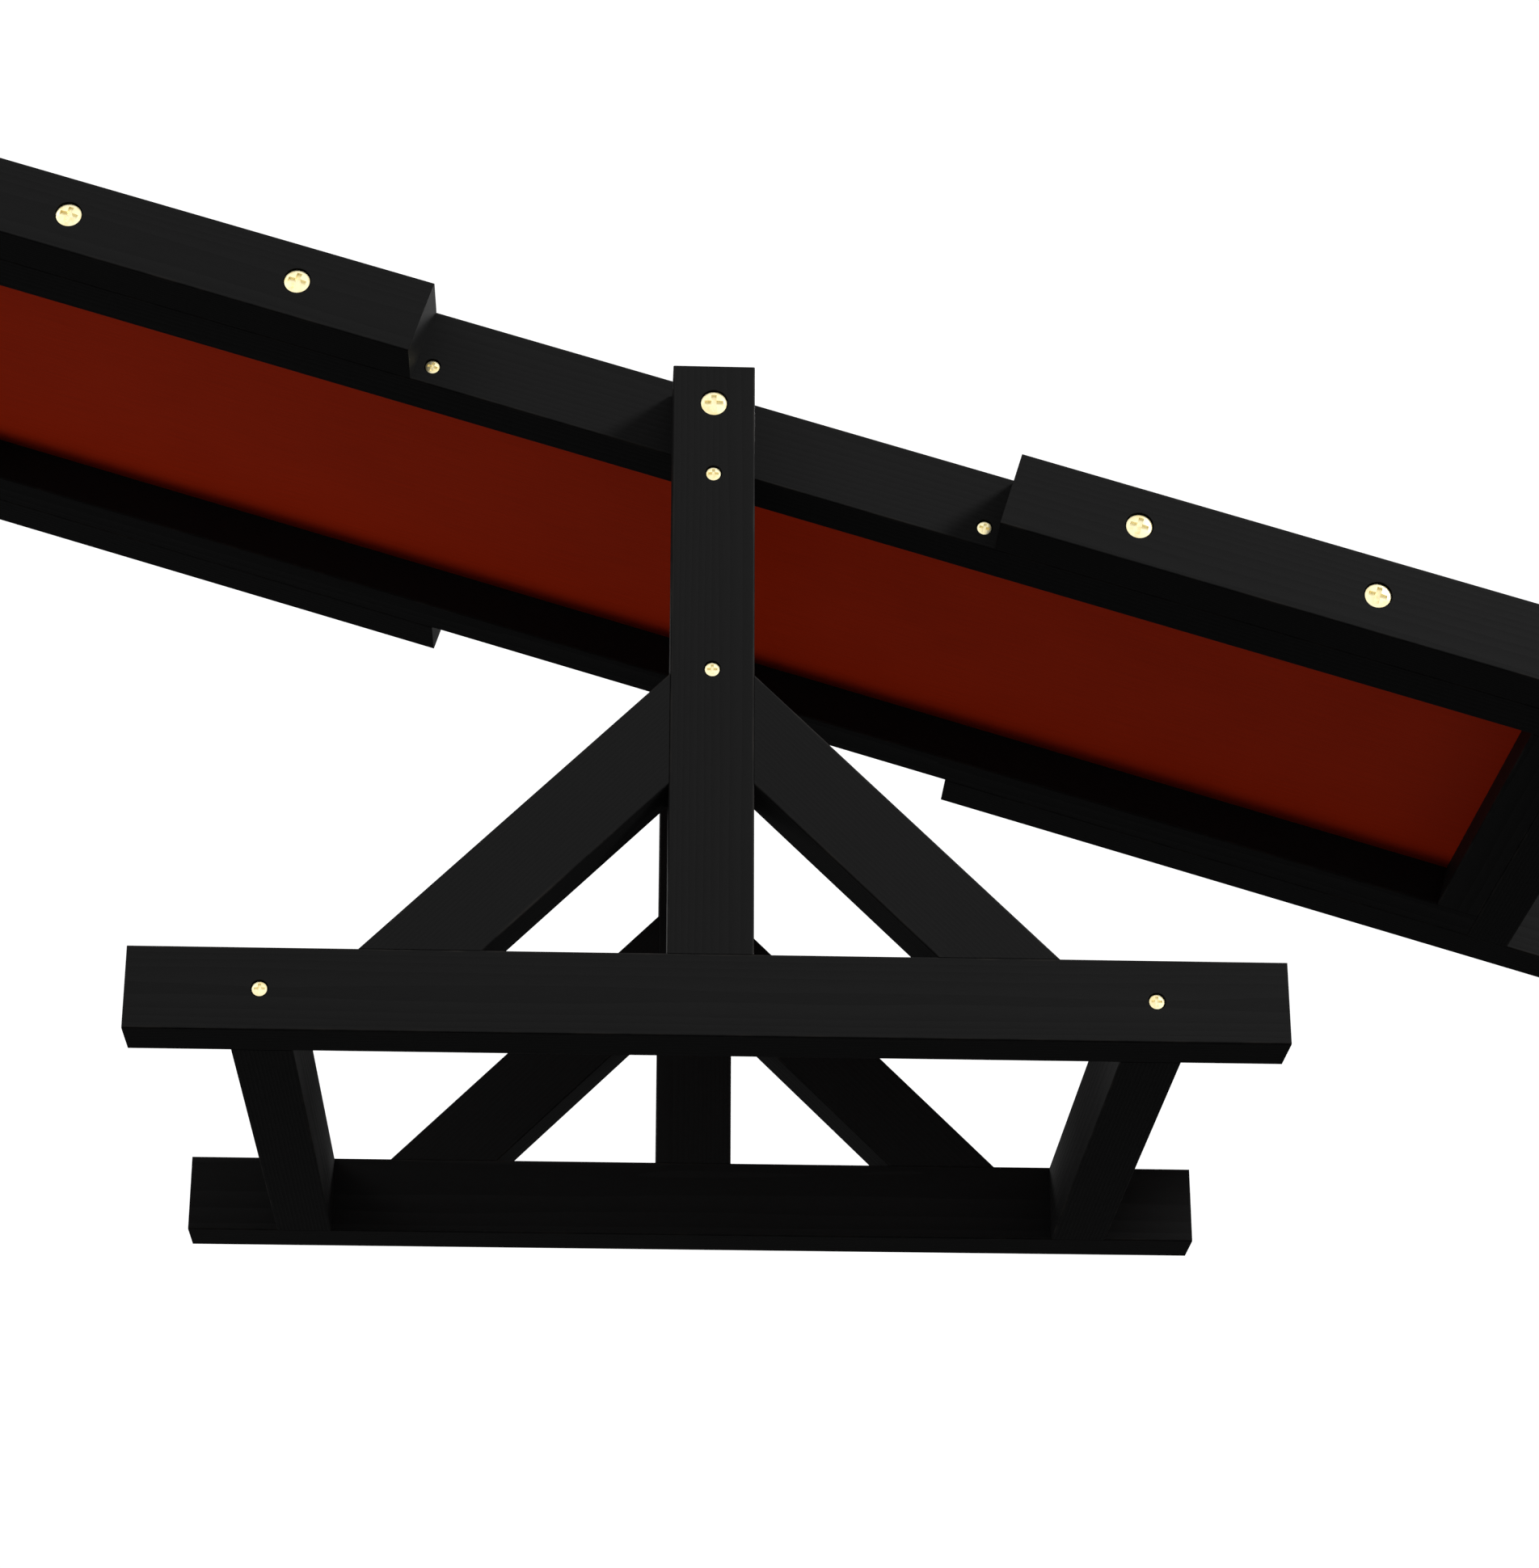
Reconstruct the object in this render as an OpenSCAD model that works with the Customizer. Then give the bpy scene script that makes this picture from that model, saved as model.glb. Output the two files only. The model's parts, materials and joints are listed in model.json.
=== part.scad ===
// Pivoting springboard: a padded board in a timber frame that tips on a trestle.
// Frame: +X along the board, +Y from the front side frame to the rear one, +Z up.
// Origin: on the floor, midway between the side frames, straight below the pivot.
// Left is -X, right is +X, front is -Y, rear is +Y.

/* [Timber] */
// Wide face of the planed timber
timber_w = 70; // [65:1:80]
// Narrow face of the planed timber
timber_t = 50; // [45:1:55]
// Thickness of the two layers across each end of the board
end_t = 40; // [30:1:45]
// Radius that eases the long edges
arris = 1.5; // [0.5:0.5:3]

/* [Trestle] */
// Width over the outer faces of the two side frames
trestle_w = 607; // [560:1:660]
// Length of the base rails
base_l = 932; // [860:2:1100]
// Distance of each base cross-member from the middle
cross_x = 359; // [330:1:400]
// Height of the post tops
post_top = 607; // [600:1:640]
// Height of the pivot
pivot_z = 572; // [560:1:580]
// Height at which the upper face of a brace meets its post
brace_z = 317; // [260:1:330]
// Height of the middle of the lower stretcher
stretcher_low_z = 322; // [280:1:400]
// Side of the square stretchers between the posts
stretcher_s = 50; // [40:1:50]

/* [Board] */
// Tilt each way at which the rails come to rest on the upper stretcher
tilt_stop = 17; // [12:0.1:20]
// Length of the side rails
rail_l = 1580; // [1400:10:1700]
// Gap between a post and the rail beside it
play = 1.5; // [1.5:0.5:3]
// Depth of the pivot below the middle of the side rails
pivot_drop = 1.5; // [0:0.5:3]
// Height of the panel's underside above the lower edge of the rails
panel_up = 40; // [36:1:42]
// Thickness of the plywood panel
panel_t = 18; // [12:1:18]
// Depth to which the panel's edges sit in their grooves
groove = 8; // [5:1:8]
// Distance of the inner end of a side plate from the pivot
plate_in = 264; // [262:1:300]
// Distance of the outer end of a side plate from the pivot
plate_out = 910; // [880:10:1000]

/* [Pad] */
// Thickness of the pad
pad_t = 22; // [15:1:30]
// Thickness of the pad's vinyl cover
cover_t = 1.2; // [0.8:0.1:2]
// Gap between the pad and the frame around it
pad_gap = 3; // [2:1:6]

/* [Screws] */
// Head radius of the large screws and the pivot bolts
big_head_r = 11; // [10:0.5:12]
// Head radius of the small screws
small_head_r = 6.1; // [5.5:0.1:6.5]
// Depth of the counterbores under the large heads
big_seat = 4.2; // [3.5:0.1:5]
// Depth of the counterbores under the small heads
small_seat = 4.2; // [3:0.1:6]
// Distance of the inner large screw of a side plate from the pivot
screw_1_x = 377; // [340:1:400]
// Distance of the middle large screw of a side plate from the pivot
screw_2_x = 586; // [500:1:640]
// Distance of each small rail screw from the pivot
rail_screw_x = 250; // [200:1:250]
// Height of the small rail screws above the lower edge of the rails
rail_screw_up = 18; // [15:0.5:20]
// Radius of the pivot bolt's plain shank
pivot_r = 6; // [5:0.5:6]

/* [Hidden] */
$fn = 48;
TIMBER = "#1e1e1e";
BRASS = "#e8d08a";
STEEL = "#b8bcc0";
RED = "#7a1a0c";
FOAM = "#d9cfa8";
SIDES = [-1, 1];
ENDS = [-1, 1];
function side_name(side) = side < 0 ? "front" : "rear";
function end_name(end) = end < 0 ? "left" : "right";

// Clearances: cut is the overshoot of a cutting solid, snug the slack of a tenon or the panel's edge,
// running the gap round a shank in its hole, stop_gap the one between rails and stretcher at rest
cut = 1;
snug = 0.1;
running = 0.05;
stop_gap = 0.3;

// Trestle
frame_out = trestle_w / 2;
frame_in = frame_out - timber_t;
frame_mid = frame_out - timber_t / 2;
post_half = timber_w / 2;
brace_cut = timber_w * sqrt(2);
brace_foot_x = post_half + brace_z - timber_w;
stretch_edge = stretcher_s / 2 - arris;
rail_low = timber_w / 2 - pivot_drop;
stop_drop = (stretch_edge * sin(tilt_stop) + rail_low + stop_gap + arris) / cos(tilt_stop);
stretcher_top_z = pivot_z - stop_drop + arris - stretcher_s / 2;
tenon_t = timber_t / 3;
tenon_deep = 30;
stub_deep = 15;
stub_l = brace_cut * 0.6;

// Board, measured from the pivot
rail_out = frame_in - play;
rail_in = rail_out - timber_t;
plate_face = rail_out + timber_t;
rail_end = rail_l / 2;
inner_end = rail_end - end_t;
panel_z = panel_up - rail_low;
panel_top = panel_z + panel_t;
screw_3_x = rail_end + end_t / 2;
PLATE_SCREWS = [screw_1_x, screw_2_x, screw_3_x];
rail_screw_z = rail_screw_up - rail_low;

// Fasteners
big_r = 5;
small_r = 3;
plate_screw_l = 72;
joint_screw_l = 84;
rail_screw_l = 34;
head_space = 1.2;
rim = 2.4;
recess_floor = 0.5;
bush_r = 8;
bush_l = 40;
bush_end_gap = 2;
washer_r = 14;
washer_t = play - 0.3;

// ---- Shapes that repeat ----

// Rectangle w by h about the origin, with rounded corners
module eased(w, h, r = arris) {
    square([w - 2 * r, h], center = true);
    square([w, h - 2 * r], center = true);
    for (x = [-1, 1], y = [-1, 1])
        translate([x * (w / 2 - r), y * (h / 2 - r)]) circle(r = r);
}

// Bar along X from x0 to x1, w across Y and h up Z
module bar_x(x0, x1, w, h, r = arris) {
    translate([x0, 0, 0]) rotate([90, 0, 90]) linear_extrude(x1 - x0) eased(w, h, r);
}

// Bar along Y from y0 to y1, w along X and h up Z
module bar_y(y0, y1, w, h) {
    translate([0, y0, 0]) rotate([-90, 0, 0]) linear_extrude(y1 - y0) eased(w, h);
}

// Block of the given size, centred in X and Y, standing on z = 0
module block(x, y, z) {
    translate([-x / 2, -y / 2, 0]) cube([x, y, z]);
}

// Moves children to an outward face on one side, with their +Z pointing out of the timber
module on_face(side, x, y, z) {
    translate([x, side * y, z]) rotate([-90 * side, 0, 0]) children();
}

// Moves children from pivot coordinates to the tilted board's place
module on_board() {
    translate([0, 0, pivot_z]) rotate([0, tilt_stop, 0]) children();
}

// Low domed screw head with a cross recess, standing on z = 0
module screw_head(r) {
    dome = r / 8;
    ball_r = (r * r + dome * dome) / (2 * dome);
    slot_w = 0.4 * r;
    slot_l = 1.44 * r;
    difference() {
        intersection() {
            cylinder(r = r, h = rim + dome);
            translate([0, 0, rim + dome - ball_r]) sphere(r = ball_r);
        }
        translate([0, 0, recess_floor]) block(slot_w, slot_l, rim + dome);
        translate([0, 0, recess_floor]) block(slot_l, slot_w, rim + dome);
    }
}

// Screw whose head sits at the bottom of its counterbore, with the timber's face at z = 0
module screw(head_r, seat, r, l) {
    translate([0, 0, -seat]) {
        screw_head(head_r);
        translate([0, 0, -l]) cylinder(r = r, h = l);
        translate([0, 0, -l - 2 * r]) cylinder(r1 = r / 5, r2 = r, h = 2 * r);
    }
}

// Counterbore and hole for a screw
module screw_hole(head_r, seat, r, l) {
    translate([0, 0, -seat]) cylinder(r = head_r + head_space, h = seat + cut);
    translate([0, 0, -seat - l - 2 * r]) cylinder(r = r + running, h = l + 2 * r + cut);
}

// The three kinds of screw and their holes
module joint_screw_hole() screw_hole(small_head_r, small_seat, small_r, joint_screw_l);
module rail_screw_hole() screw_hole(small_head_r, small_seat, small_r, rail_screw_l);
module plate_screw_hole() screw_hole(big_head_r, big_seat, big_r, plate_screw_l);

// ---- Trestle ----

// Bar of one brace at 45 degrees, longer than needed at both ends
module brace_bar() {
    mid_z = brace_z - brace_cut / 2;
    translate([post_half, 0, mid_z]) rotate([0, 45, 0])
        bar_x(-brace_cut, brace_foot_x * 2, timber_t, timber_w);
}

// Stub tenons at the two ends of a brace, grown by slack on every side
module brace_stubs(slack) {
    grow = 2 * slack;
    translate([post_half, 0, brace_z - brace_cut / 2 - stub_l / 2 - slack])
        block(2 * (stub_deep + slack), tenon_t + grow, stub_l + grow);
    translate([brace_foot_x - brace_cut / 2, 0, timber_w - stub_deep - slack])
        block(stub_l + grow, tenon_t + grow, 2 * (stub_deep + slack));
}

// Half-space above the base rail and outside the post
module brace_room() {
    translate([post_half, -timber_t, timber_w]) cube([base_l, 2 * timber_t, post_top]);
}

// The part of each stub tenon that stands out of the brace
module brace_stub_pair() {
    difference() {
        brace_stubs(0);
        translate([post_half + cut, -timber_t, timber_w + cut]) cube([base_l, 2 * timber_t, post_top]);
    }
}

module brace(side, end) {
    color(TIMBER) translate([0, side * frame_mid, 0]) mirror([end < 0 ? 1 : 0, 0, 0]) {
        intersection() {
            brace_bar();
            brace_room();
        }
        brace_stub_pair();
    }
}

// Mortises for the stub tenons of both braces of a side frame
module brace_mortises() {
    for (end = ENDS) mirror([end < 0 ? 1 : 0, 0, 0]) brace_stubs(snug);
}

module post(side) {
    color(TIMBER) difference() {
        translate([0, side * frame_mid, 0]) difference() {
            union() {
                translate([0, 0, timber_w]) linear_extrude(post_top - timber_w) eased(timber_w, timber_t);
                translate([0, 0, timber_w - tenon_deep]) block(timber_t, tenon_t, tenon_deep + cut);
            }
            brace_mortises();
        }
        on_face(side, 0, frame_out, pivot_z) screw_hole(big_head_r, big_seat, pivot_r, timber_t);
        for (z = [stretcher_top_z, stretcher_low_z])
            on_face(side, 0, frame_out, z) joint_screw_hole();
    }
}

module base_rail(side) {
    color(TIMBER) difference() {
        translate([0, side * frame_mid, 0]) difference() {
            translate([0, 0, timber_w / 2]) bar_x(-base_l / 2, base_l / 2, timber_t, timber_w);
            translate([0, 0, timber_w - tenon_deep - snug])
                block(timber_t + 2 * snug, tenon_t + 2 * snug, tenon_deep + cut);
            brace_mortises();
        }
        for (end = ENDS)
            on_face(side, end * cross_x, frame_out, timber_w / 2) joint_screw_hole();
    }
}

module base_crossmember(end) {
    color(TIMBER) difference() {
        translate([end * cross_x, 0, timber_w / 2]) bar_y(-frame_in, frame_in, timber_t, timber_w);
        for (side = SIDES)
            on_face(side, end * cross_x, frame_out, timber_w / 2) joint_screw_hole();
    }
}

module stretcher(z) {
    color(TIMBER) difference() {
        translate([0, 0, z]) bar_y(-frame_in, frame_in, stretcher_s, stretcher_s);
        for (side = SIDES)
            on_face(side, 0, frame_out, z) joint_screw_hole();
    }
}

module joint_screw(side, x, z) {
    color(BRASS) on_face(side, x, frame_out, z) screw(small_head_r, small_seat, small_r, joint_screw_l);
}

module pivot_bolt(side) {
    shank_l = frame_out - big_seat - rail_out + bush_l - bush_end_gap;
    color(BRASS) on_face(side, 0, frame_out - big_seat, pivot_z) {
        screw_head(big_head_r);
        translate([0, 0, -shank_l]) cylinder(r = pivot_r, h = shank_l);
    }
}

module pivot_washer(side) {
    color(STEEL) on_face(side, 0, frame_in - washer_t, pivot_z) difference() {
        cylinder(r = washer_r, h = washer_t);
        translate([0, 0, -cut]) cylinder(r = pivot_r + running, h = washer_t + 2 * cut);
    }
}

// ---- Board ----

module pivot_bush(side) {
    color(BRASS) on_board() on_face(side, 0, rail_out - bush_l, 0) difference() {
        cylinder(r = bush_r, h = bush_l);
        translate([0, 0, -cut]) cylinder(r = pivot_r + running, h = bush_l + 2 * cut);
    }
}

// Plywood sheet, grown by slack on every side
module panel_sheet(slack) {
    grow = 2 * slack;
    translate([0, 0, panel_z - slack])
        block(2 * (inner_end + groove) + grow, 2 * (rail_in + groove) + grow, panel_t + grow);
}

// Holes for the large screws of both plates on one side
module plate_screw_holes(side) {
    for (end = ENDS, x = PLATE_SCREWS)
        on_face(side, end * x, plate_face, pivot_drop) plate_screw_hole();
}

module side_rail(side) {
    color(TIMBER) on_board() difference() {
        translate([0, side * (rail_out - timber_t / 2), pivot_drop]) bar_x(-rail_end, rail_end, timber_t, timber_w);
        panel_sheet(snug);
        plate_screw_holes(side);
        on_face(side, 0, rail_out - bush_l, 0) cylinder(r = bush_r, h = bush_l + cut);
        for (end = ENDS)
            on_face(side, end * rail_screw_x, rail_out, rail_screw_z) rail_screw_hole();
    }
}

module end_rail(end) {
    color(TIMBER) on_board() difference() {
        translate([end * (inner_end + end_t / 2), 0, pivot_drop]) bar_y(-rail_in, rail_in, end_t, timber_w);
        panel_sheet(snug);
    }
}

module end_cap(end) {
    color(TIMBER) on_board() difference() {
        translate([end * screw_3_x, 0, pivot_drop]) bar_y(-rail_out, rail_out, end_t, timber_w);
        for (side = SIDES) plate_screw_holes(side);
    }
}

module side_plate(side, end) {
    x0 = end < 0 ? -plate_out : plate_in;
    color(TIMBER) on_board() difference() {
        translate([0, side * (rail_out + timber_t / 2), pivot_drop])
            bar_x(x0, x0 + plate_out - plate_in, timber_t, timber_w);
        plate_screw_holes(side);
    }
}

module deck_panel() {
    color(RED) on_board() panel_sheet(0);
}

// Pad block, smaller by inset on every side
module pad_block(inset, r) {
    half_l = inner_end - pad_gap - inset;
    translate([0, 0, panel_top + pad_t / 2])
        bar_x(-half_l, half_l, 2 * (rail_in - pad_gap - inset), pad_t - 2 * inset, r);
}

module pad_foam() {
    color(FOAM) on_board() pad_block(cover_t, 4);
}

module pad_cover() {
    color(RED) on_board() difference() {
        pad_block(0, 4 + cover_t);
        pad_block(cover_t, 4);
    }
}

module rail_screw(side, end) {
    color(BRASS) on_board() on_face(side, end * rail_screw_x, rail_out, rail_screw_z)
        screw(small_head_r, small_seat, small_r, rail_screw_l);
}

module plate_screw(side, end, i) {
    color(BRASS) on_board() on_face(side, end * PLATE_SCREWS[i], plate_face, pivot_drop)
        screw(big_head_r, big_seat, big_r, plate_screw_l);
}

// ---- Nodes ----

for (s = SIDES) {
    base_rail(s);
    post(s);
    joint_screw(s, 0, stretcher_top_z);
    joint_screw(s, 0, stretcher_low_z);
    pivot_bolt(s);
    pivot_washer(s);
    pivot_bush(s);
    side_rail(s);
}
for (e = ENDS) {
    base_crossmember(e);
    end_rail(e);
    end_cap(e);
}
for (s = SIDES, e = ENDS) {
    corner = str(side_name(s), "_", end_name(e));
    brace(s, e);
    joint_screw(s, e * cross_x, timber_w / 2);
    side_plate(s, e);
    rail_screw(s, e);
    for (i = [0:2])
        plate_screw(s, e, i);
}
stretcher(stretcher_top_z);  // stretcher_upper
stretcher(stretcher_low_z);  // stretcher_lower
deck_panel();
pad_foam();
pad_cover();
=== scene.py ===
"""Pivoting springboard: a padded board in a black timber frame that tips on a trestle.

Lengths are in metres. +X runs along the board, +Y from the front side frame to the
rear one and +Z up. The origin is on the floor, straight below the pivot.
"""

import json
import logging
import math
from collections.abc import Iterable
from dataclasses import dataclass, field
from enum import Enum
from typing import Any

import bmesh
import bpy
from mathutils import Euler, Matrix, Vector
from mathutils.bvhtree import BVHTree

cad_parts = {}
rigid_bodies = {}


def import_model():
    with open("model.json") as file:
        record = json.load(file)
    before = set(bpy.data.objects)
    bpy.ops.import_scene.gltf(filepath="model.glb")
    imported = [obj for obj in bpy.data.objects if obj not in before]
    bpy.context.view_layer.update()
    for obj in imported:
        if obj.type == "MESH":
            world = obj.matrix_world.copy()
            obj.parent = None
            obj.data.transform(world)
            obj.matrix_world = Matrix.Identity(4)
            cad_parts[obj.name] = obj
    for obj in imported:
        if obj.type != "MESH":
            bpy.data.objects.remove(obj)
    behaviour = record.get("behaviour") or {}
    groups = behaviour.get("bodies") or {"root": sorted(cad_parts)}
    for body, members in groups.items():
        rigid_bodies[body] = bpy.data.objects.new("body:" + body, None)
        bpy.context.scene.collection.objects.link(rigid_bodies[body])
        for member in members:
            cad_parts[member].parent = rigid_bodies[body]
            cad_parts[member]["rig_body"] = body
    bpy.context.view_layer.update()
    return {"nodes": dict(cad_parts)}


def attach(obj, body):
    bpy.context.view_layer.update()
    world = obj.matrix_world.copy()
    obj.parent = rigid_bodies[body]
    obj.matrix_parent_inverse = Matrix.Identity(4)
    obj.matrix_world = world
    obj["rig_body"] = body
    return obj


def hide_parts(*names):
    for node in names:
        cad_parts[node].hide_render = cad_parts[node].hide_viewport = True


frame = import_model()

log = logging.getLogger("springboard")

MM = 0.001
WAVE_PERIOD = math.tau / 20  # distance between two crests of Blender's wave texture at scale 1
SIDES = {"front": -1, "rear": 1}
ENDS = {"left": -1, "right": 1}


# ---- Helpers ----


def linear(code: str) -> tuple[float, float, float, float]:
    """Turn an sRGB colour into the linear one that shaders read.

    Args:
        code: Colour as "#rrggbb".

    Returns:
        Linear red, green and blue, and an alpha of 1.
    """
    parts = [int(code[i : i + 2], 16) / 255 for i in (1, 3, 5)]
    red, green, blue = (
        c / 12.92 if c <= 0.04045 else ((c + 0.055) / 1.055) ** 2.4 for c in parts
    )
    return red, green, blue, 1.0


def add_node(
    tree: bpy.types.NodeTree,
    kind: str,
    inputs: dict[str | int, Any] | None = None,
    **settings: Any,
) -> bpy.types.Node:
    """Add a node with its settings and links.

    Args:
        tree: Node tree that gets the node.
        kind: Node type, without Blender's "ShaderNode" before it.
        inputs: For each input, by name or number, its value or the output that feeds it.
        **settings: The node's own options.

    Returns:
        The new node.
    """
    node = tree.nodes.new("ShaderNode" + kind)
    for name, value in settings.items():
        setattr(node, name, value)
    for name, value in (inputs or {}).items():
        if isinstance(value, bpy.types.NodeSocket):
            tree.links.new(value, node.inputs[name])
        else:
            node.inputs[name].default_value = value
    return node


def new_material(name: str) -> tuple[bpy.types.Material, bpy.types.NodeTree]:
    """Make a material with an empty node tree.

    Args:
        name: The material's name.

    Returns:
        The material and its node tree.
    """
    material = bpy.data.materials.new(name)
    material.use_nodes = True
    material.node_tree.nodes.clear()
    return material, material.node_tree


def close_material(tree: bpy.types.NodeTree, shader: bpy.types.Node) -> None:
    """Send a shader to the material's output."""
    add_node(tree, "OutputMaterial", {"Surface": shader.outputs[0]})


def dress(names: Iterable[str], material: bpy.types.Material) -> None:
    """Give carried-over solids a finish.

    Args:
        names: The solids' names.
        material: The finish.
    """
    for name in names:
        for material_slot in frame["nodes"][name].material_slots:
            material_slot.material = material
        log.info("dressed %s in %s", name, material.name)


def new_piece(
    name: str,
    data: bpy.types.Mesh | bpy.types.Curve,
    place: Matrix,
    material: bpy.types.Material,
) -> bpy.types.Object:
    """Make an object from finished mesh or curve data.

    Args:
        name: The piece's name.
        data: Its mesh or curve.
        place: Its place in the row frame.
        material: Its finish.

    Returns:
        The new object.
    """
    piece = bpy.data.objects.new(name, data)
    bpy.context.scene.collection.objects.link(piece)
    piece.matrix_world = place
    data.materials.append(material)
    log.info("built %s", name)
    return piece


# ---- Finishes ----


class Grain(Enum):
    """Way in which a bar's grain runs: the turn, in degrees, that brings +X onto it."""

    ALONG = (0, 0, 0)
    ACROSS = (0, 0, 90)
    UPRIGHT = (0, -90, 0)
    RAKED_LEFT = (0, -45, 0)
    RAKED_RIGHT = (0, 45, 0)

    def turn(self) -> Matrix:
        """Return the turn as a 4 by 4 matrix."""
        return Euler([math.radians(a) for a in self.value]).to_matrix().to_4x4()


@dataclass(frozen=True)
class StainedTimber:
    """Planed spruce under two coats of black wood stain, wiped and left satin.

    The stain soaks in unevenly, so the summer growth shows as slightly darker lines
    along the grain and as arcs on sawn ends. Handling has thinned it on the arrises.
    """

    spring_growth: str = "#1c1c1c"
    summer_growth: str = "#171717"
    rubbed: str = "#2c2a28"
    ring: float = 3.4 * MM  # width of one year's growth in spruce
    fibre: float = 0.9 * MM  # real fibres are 0.03 mm wide, drawn coarser so that they show
    blotch: float = 120 * MM  # patches where the stain soaked in more
    rub_width: float = 2.5 * MM
    roughness: tuple[float, float] = (0.52, 0.66)
    specular: float = 0.06

    def material(
        self, name: str, place: Matrix, half: tuple[float, float], seed: int
    ) -> bpy.types.Material:
        """Make the finish of one bar, with its own growth rings.

        Args:
            name: The bar's name.
            place: From the bar's own axes, grain along X, to the row frame.
            half: Half the bar's sizes across the grain, along its Y and its Z.
            seed: Number that sets where the heart of the tree lay.

        Returns:
            The material.
        """
        material, tree = new_material("black_timber_" + name)
        to_bar = place.inverted()
        bar = add_node(
            tree,
            "Mapping",
            {
                "Vector": add_node(tree, "TexCoord").outputs["Object"],
                "Location": to_bar.to_translation(),
                "Rotation": to_bar.to_euler(),
            },
        ).outputs[0]
        angle = seed * 2.4  # radians, the golden angle, so that no two bars look alike
        reach = (62 + 9 * (seed % 5)) * MM
        heart = (0.37 * seed, reach * math.cos(angle), reach * math.sin(angle))
        log_space = add_node(tree, "VectorMath", {0: bar, 1: heart}).outputs[0]
        drawn_out = add_node(
            tree, "VectorMath", {0: log_space, 1: (0.05, 1, 1)}, operation="MULTIPLY"
        ).outputs[0]
        rings = add_node(
            tree,
            "TexWave",
            {
                "Vector": drawn_out,
                "Scale": WAVE_PERIOD / self.ring,
                "Distortion": 5.0,
                "Detail": 2.0,
                "Detail Scale": 0.35,
            },
            wave_type="RINGS",
            rings_direction="X",
            wave_profile="SAW",
        ).outputs["Fac"]
        fibres = add_node(
            tree, "TexNoise", {"Vector": drawn_out, "Scale": 1 / self.fibre, "Detail": 3.0}
        ).outputs["Fac"]
        blotches = add_node(
            tree, "TexNoise", {"Vector": log_space, "Scale": 1 / self.blotch, "Detail": 2.0}
        ).outputs["Fac"]
        figure = add_node(
            tree, "Math", {0: rings, 1: 0.45, 2: 0.0}, operation="MULTIPLY_ADD"
        ).outputs[0]
        figure = add_node(
            tree, "Math", {0: fibres, 1: 0.55, 2: figure}, operation="MULTIPLY_ADD"
        ).outputs[0]
        lines = add_node(
            tree, "Math", {0: figure, 1: 0.25}, operation="SUBTRACT"
        ).outputs[0]
        depth = add_node(
            tree,
            "Math",
            {0: blotches, 1: 0.5, 2: lines},
            operation="MULTIPLY_ADD",
            use_clamp=True,
        ).outputs[0]
        stained = add_node(
            tree,
            "Mix",
            {0: depth, 6: linear(self.spring_growth), 7: linear(self.summer_growth)},
            data_type="RGBA",
        ).outputs[2]
        axes = add_node(tree, "SeparateXYZ", {0: bar}).outputs
        near = []
        for axis, size in zip("YZ", half):
            off_centre = add_node(tree, "Math", {0: axes[axis]}, operation="ABSOLUTE").outputs[0]
            near.append(
                add_node(
                    tree,
                    "MapRange",
                    {0: off_centre, 1: size - self.rub_width, 2: size - 0.5 * MM},
                ).outputs[0]
            )
        arris = add_node(tree, "Math", {0: near[0], 1: near[1]}, operation="MULTIPLY").outputs[0]
        handled = add_node(
            tree, "TexNoise", {"Vector": log_space, "Scale": 28.0, "Detail": 6.0}
        ).outputs["Fac"]
        patchy = add_node(tree, "MapRange", {0: handled, 1: 0.45, 2: 0.65}).outputs[0]
        wear = add_node(tree, "Math", {0: arris, 1: patchy}, operation="MULTIPLY").outputs[0]
        colour = add_node(
            tree, "Mix", {0: wear, 6: stained, 7: linear(self.rubbed)}, data_type="RGBA"
        ).outputs[2]
        sheen = add_node(
            tree,
            "MapRange",
            {0: figure, 1: 0.2, 2: 0.8, 3: self.roughness[0], 4: self.roughness[1]},
        ).outputs[0]
        raised = add_node(
            tree, "Bump", {"Strength": 0.5, "Distance": 0.12 * MM, "Height": figure}
        ).outputs[0]
        close_material(
            tree,
            add_node(
                tree,
                "BsdfPrincipled",
                {
                    "Base Color": colour,
                    "Roughness": sheen,
                    "IOR": 1.5,
                    "Specular IOR Level": self.specular,
                    "Normal": raised,
                },
            ),
        )
        return material


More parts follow.
